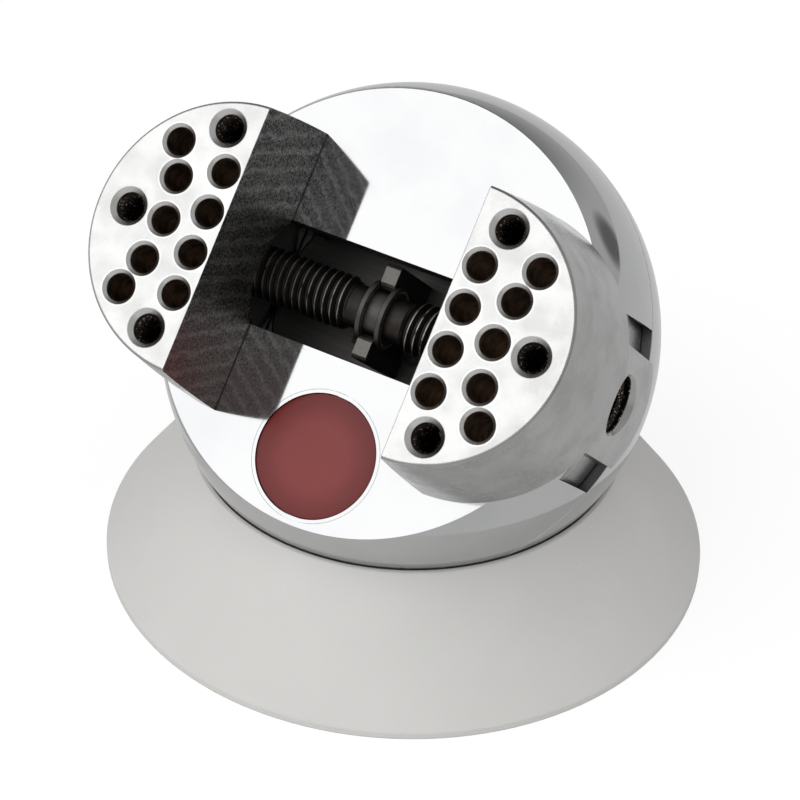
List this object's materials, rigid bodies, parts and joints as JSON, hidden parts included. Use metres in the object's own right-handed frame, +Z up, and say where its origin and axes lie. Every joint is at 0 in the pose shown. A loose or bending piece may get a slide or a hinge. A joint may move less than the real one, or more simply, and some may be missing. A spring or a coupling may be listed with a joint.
{
  "type": "ball vise",
  "caption": "Small ball vise: a steel ball in a soft cone-shaped rest, with a turning head and two D-shaped jaws that a left-and-right-hand screw moves together.",
  "frame": {"origin": "middle of the rest's flat underside", "axes": "+Z up from the bench; +X is the axis that the ball leans about, roughly along the lead screw; the jaws lean towards -Y"},
  "size_m": [0.092, 0.092, 0.0791],
  "materials": {
    "rest_rubber": "matt light grey",
    "chromed_steel": "polished",
    "satin_steel": "satin, ground faces",
    "grey_steel": "blasted",
    "black_steel": "black oxide",
    "bearing_steel": "ground",
    "bronze": "plain",
    "badge_enamel": "smooth enamel"
  },
  "bodies": {
    "rest_body": {"rest": "rest_rubber"},
    "ball_body": {"ball": "chromed_steel", "pivot_bush": "bronze", "lower_race": "bearing_steel", "ball_plug": "chromed_steel"},
    "bearing_body": {"bearing_cage": "bronze", "bearing_balls": "bearing_steel"},
    "head_body": {"head": "chromed_steel", "upper_race": "bearing_steel", "pivot_stud": "black_steel", "pivot_washer": "bearing_steel", "disc_springs": "black_steel", "lock_nut": "bearing_steel", "screw_fork": "grey_steel", "fork_screws": "black_steel", "badge_disc": "badge_enamel", "badge_ring": "chromed_steel"},
    "screw_body": {"lead_screw": "black_steel"},
    "jaw_left_body": {"jaw_left": "satin_steel"},
    "jaw_right_body": {"jaw_right": "satin_steel"}
  },
  "joints": [
    {"name": "ball_tilt", "type": "hinge", "parent": "rest_body", "child": "ball_body", "pos_m": [0, 0, 0.0382], "axis": [1, 0, 0], "range_deg": [-97.1, 2.9]},
    {"name": "head_turn", "type": "hinge", "parent": "ball_body", "child": "head_body", "pos_m": [0, 0, 0.0382], "axis": [0, -0.7325, 0.6807], "range_deg": [-27, 34]},
    {"name": "cage_turn", "type": "hinge", "parent": "ball_body", "child": "bearing_body", "pos_m": [0, 0, 0.0382], "axis": [0, -0.7325, 0.6807], "range_deg": [-13.8, 17.3]},
    {"name": "screw_turn", "type": "hinge", "parent": "head_body", "child": "screw_body", "pos_m": [0, -0.00982, 0.04732], "axis": [0.9979, -0.0439, -0.0473], "range_deg": [-4890, 150]},
    {"name": "jaw_left_slide", "type": "slide", "parent": "head_body", "child": "jaw_left_body", "axis": [-0.9979, 0.0439, 0.0473], "range_m": [-0.01696, 0.00051]},
    {"name": "jaw_right_slide", "type": "slide", "parent": "head_body", "child": "jaw_right_body", "axis": [0.9979, -0.0439, -0.0473], "range_m": [-0.01695, 0.0005]}
  ],
  "couplings": [
    {"joint": "cage_turn", "follows": "head_turn", "ratio": 0.5},
    {"joint": "jaw_left_slide", "follows": "jaw_right_slide", "ratio": 1},
    {"joint": "screw_turn", "follows": "jaw_right_slide", "rad_per_m": 5026.5}
  ]
}
